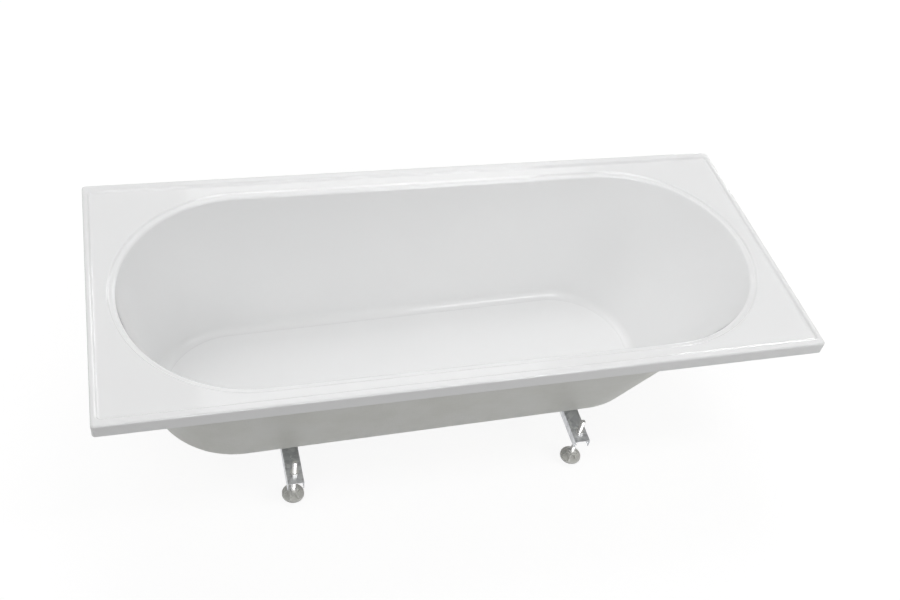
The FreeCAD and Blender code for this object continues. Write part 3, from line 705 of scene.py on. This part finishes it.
MATERIALS = {
    "white_acrylic": acrylic("acrylic", rough=(0.02, 0.045), coat=0.05),
    "fibreglass": laminate(),
    "chipboard": chips(),
    "pine": pine("pine_long", (0.9, 26, 26)),
    "zinc_steel": spangle(),
    "zinc_fastener": metal("zinc_fastener", (0.60, 0.60, 0.60), (0.71, 0.71, 0.69),
                           rough=(0.22, 0.38), grain=700.0, depth=0.00008),
    "black_rubber": moulded("rubber", (0.018, 0.018, 0.019), (0.034, 0.034, 0.035),
                            rough=(0.6, 0.8), grain=900.0, depth=0.0002),
    "foot_nylon": moulded("foot_nylon", (0.66, 0.66, 0.63), (0.74, 0.74, 0.71),
                          rough=(0.38, 0.52), grain=600.0, depth=0.0001),
    "chrome": metal("chrome", (0.80, 0.81, 0.83), (0.88, 0.88, 0.89),
                    rough=(0.03, 0.09), grain=90.0, depth=0.00001),
    "brass": metal("brass", (0.55, 0.38, 0.14), (0.70, 0.52, 0.22),
                   rough=(0.22, 0.36), grain=500.0, depth=0.00008),
    "white_nylon": moulded("white_nylon", (0.70, 0.70, 0.67), (0.79, 0.79, 0.76),
                           rough=(0.35, 0.48), grain=500.0, depth=0.0001),
    "spring_steel": metal("spring_steel", (0.42, 0.42, 0.43), (0.54, 0.54, 0.54),
                          rough=(0.22, 0.34), grain=900.0, depth=0.00004),
}
CROSS_PINE = pine("pine_cross", (26, 0.9, 26))
SATIN = acrylic("acrylic_satin", rough=(0.30, 0.36), coat=0.0)
SLOT_OF = {row["node"]: row["material_slot"] for row in frame["record"]["subparts"]}


# ---- the pieces -------------------------------------------------------------

def dress(obj, slot):
    """Gives a new piece the material of a slot in the record."""
    obj.data.materials.clear()
    obj.data.materials.append(MATERIALS[slot])
    return obj


for node_name, node_obj in frame["nodes"].items():
    cross = node_name in CROSS_BATTENS
    for material_slot in node_obj.material_slots:
        material_slot.material = CROSS_PINE if cross else MATERIALS[SLOT_OF[node_name]]

shell, floor_flat = bath_shell()
dress(shell, "white_acrylic")
shell.data.materials.append(SATIN)
for face in shell.data.polygons[floor_flat]:
    face.material_index = 1
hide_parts("acrylic_shell")
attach(shell, "bath")

skin = dress(laminate_skin(), "fibreglass")
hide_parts("fibreglass_backing")
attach(skin, "bath")

tray = dress(board_tray(), "fibreglass")
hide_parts("base_board_wrap")
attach(tray, "bath")

for place in ("front_left", "back_left", "front_right", "back_right", "centre"):
    stud = dress(foot_stud(place), "zinc_fastener")
    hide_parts("foot_stud_" + place)
    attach(stud, "stud_" + place)

for batten in LONG_BATTENS + CROSS_BATTENS:
    planed = frame["nodes"][batten].modifiers.new("planed", "BEVEL")
    planed.width = BATTEN_EDGE * MM
    planed.segments = 2
    planed.limit_method = "ANGLE"
    planed.angle_limit = math.radians(SHARP_BATTEN)


# ---- stage, light and camera ------------------------------------------------

WHITE = 1.0  # the strength at which a glow or the world renders white
WORLD_LIGHT = 0.31  # the strength of the world as a lamp

# The floor: its half size in metres and its clearance below the feet. The camera sees it as a
# glow, which grows with the distance in metres, plus a share of its lit surface.
FLOOR_REACH = 30.0
FLOOR_CLEARANCE = 0.4
FLOOR_GLOW = (0.88, WHITE)
FLOOR_GLOW_SPAN = (0.9, 3.2)
FLOOR_SHADE = 0.36

# The photograph's camera, fitted to the rim's corners: its axes, and its place in metres with the
# height above the rim.
CAMERA_RIGHT = Vector((0.95844864, -0.24673389, 0.14317331))
CAMERA_DOWN = Vector((-0.08707454, -0.73098398, -0.67681641))
CAMERA_AHEAD = Vector((0.27165094, 0.63622701, -0.72209484))
CAMERA_PLACE = Vector((-0.68652, -1.62806, 1.72364 + RIM_Z * MM))
CAMERA_LENS = 41.902
CAMERA_SENSOR = 36.0
CAMERA_CLIP = (0.05, 100.0)


def light_path_mix(tree, plain, seen):
    """Shows seen to the camera and in reflections, and plain to diffuse light."""
    path = tree.nodes.new("ShaderNodeLightPath")
    rays = path.outputs["Is Camera Ray"]
    for more in ("Is Glossy Ray", "Is Transmission Ray"):
        add = tree.nodes.new("ShaderNodeMath")
        add.operation = "ADD"
        add.use_clamp = True
        tree.links.new(rays, add.inputs[0])
        tree.links.new(path.outputs[more], add.inputs[1])
        rays = add.outputs[0]
    mix = tree.nodes.new("ShaderNodeMixShader")
    tree.links.new(rays, mix.inputs["Fac"])
    tree.links.new(plain, mix.inputs[1])
    tree.links.new(seen, mix.inputs[2])
    return mix.outputs[0]


def world_light():
    """An even white world that lights the bath less than it shows in the gloss."""
    world = bpy.data.worlds.new("studio")
    bpy.context.scene.world = world
    world.use_nodes = True
    tree = world.node_tree
    plain = tree.nodes["Background"]
    seen = tree.nodes.new("ShaderNodeBackground")
    for node, strength in ((plain, WORLD_LIGHT), (seen, WHITE)):
        node.inputs["Color"].default_value = (1.0, 1.0, 1.0, 1.0)
        node.inputs["Strength"].default_value = strength
    mixed = light_path_mix(tree, plain.outputs[0], seen.outputs[0])
    tree.links.new(mixed, tree.nodes["World Output"].inputs["Surface"])


def floor_material():
    """A pale matt floor for the light; the camera sees it glow up to white, with its shadows."""
    m = Nodes("studio_floor")
    m.shades(m.noise(3.0), (0.49, 0.49, 0.49), (0.51, 0.51, 0.51))
    m.set(Roughness=0.9, Specular_IOR_Level=0.2)
    glow = m.add("ShaderNodeEmission")
    place = m.add("ShaderNodeTexCoord")
    distance = m.add("ShaderNodeVectorMath", operation="LENGTH")
    m.link(place.outputs["Object"], distance.inputs[0])
    m.link(m.spread(distance.outputs["Value"], *FLOOR_GLOW, FLOOR_GLOW_SPAN),
           glow.inputs["Strength"])
    thin = m.add("ShaderNodeMixShader", Fac=FLOOR_SHADE)
    black = m.add("ShaderNodeBsdfTransparent", Color=(0, 0, 0, 1))
    m.link(black.outputs[0], thin.inputs[1])
    m.link(m.shader.outputs[0], thin.inputs[2])
    both = m.add("ShaderNodeAddShader")
    m.link(thin.outputs[0], both.inputs[0])
    m.link(glow.outputs[0], both.inputs[1])
    mixed = light_path_mix(m.tree, m.shader.outputs[0], both.outputs[0])
    m.link(mixed, m.tree.nodes["Material Output"].inputs["Surface"])
    return m.mat


def stage_floor():
    """A plain floor, low enough for the feet at their full reach."""
    r = FLOOR_REACH
    me = bpy.data.meshes.new("floor")
    me.from_pydata([(-r, -r, 0), (r, -r, 0), (r, r, 0), (-r, r, 0)], [], [(0, 1, 2, 3)])
    me.materials.append(floor_material())
    floor = linked("floor", me)
    floor.location.z = -(FOOT_TRAVEL + FLOOR_CLEARANCE) * MM


def area_light(name, centre, target, size, strength, mirrored=True, lights=True, spread=180):
    """A soft box, sizes in metres; strength is its radiance, where 1 is white.

    A fill lamp isn't mirrored in the gloss, and a sheen lamp shows nowhere else.
    """
    data = bpy.data.lights.new(name, "AREA")
    data.shape = "RECTANGLE"
    data.size, data.size_y = size
    data.energy = strength * math.pi * size[0] * size[1]
    data.spread = math.radians(spread)
    lamp = linked(name, data)
    lamp.location = centre
    aim = Vector(target) - Vector(centre)
    lamp.rotation_mode = "QUATERNION"
    lamp.rotation_quaternion = aim.to_track_quat("-Z", "Y")
    lamp.visible_glossy = mirrored
    lamp.visible_diffuse = lights
    lamp.visible_camera = False


def camera():
    """The camera at the photograph's viewing angle."""
    data = bpy.data.cameras.new("camera")
    data.sensor_width = CAMERA_SENSOR
    data.sensor_fit = "HORIZONTAL"
    data.lens = CAMERA_LENS
    data.clip_start, data.clip_end = CAMERA_CLIP
    cam = linked("camera", data)
    columns = (CAMERA_RIGHT, -CAMERA_DOWN, -CAMERA_AHEAD, CAMERA_PLACE)
    cam.matrix_world = Matrix([[column[i] for column in columns] for i in range(3)]
                              + [[0, 0, 0, 1]])
    bpy.context.scene.camera = cam


world_light()
stage_floor()
area_light("soft_box_behind", (0.34, 1.491, 2.32), (0.34, 0.491, 2.093), (1.72, 1.39), 1.15)
area_light("soft_box_above", (1.10, -0.97, 3.0), (1.10, 0.17, 0.13), (0.98, 0.42), 11.4)
area_light("overhead", (-0.25, 1.15, 2.95), (-0.15, 0.0, 0.3), (2.8, 1.4), 0.68,
           mirrored=False, spread=110)
area_light("left_fill", (-2.3, 0.3, 1.7), (0.4, 0.0, 0.45), (0.9, 1.3), 0.5,
           mirrored=False, spread=110)
area_light("right_fill", (1.9, -1.8, 1.5), (0.3, 0.1, 0.3), (1.1, 1.1), 0.8,
           mirrored=False, spread=100)
area_light("front_fill", (-1.6, -1.5, 2.1), (-0.3, 0.1, 0.4), (1.2, 1.2), 0.62,
           mirrored=False, spread=100)
area_light("front_sheen", (0.1, -3.2, 2.2), (0.1, 0.33, 0.5), (3.4, 0.7), 15.0, lights=False)
area_light("right_sheen", (4.40, 4.70, 3.36), (-0.80, -0.15, 0.49), (1.8, 0.66), 25.0,
           lights=False)
camera()
bpy.context.scene.view_settings.view_transform = "Standard"
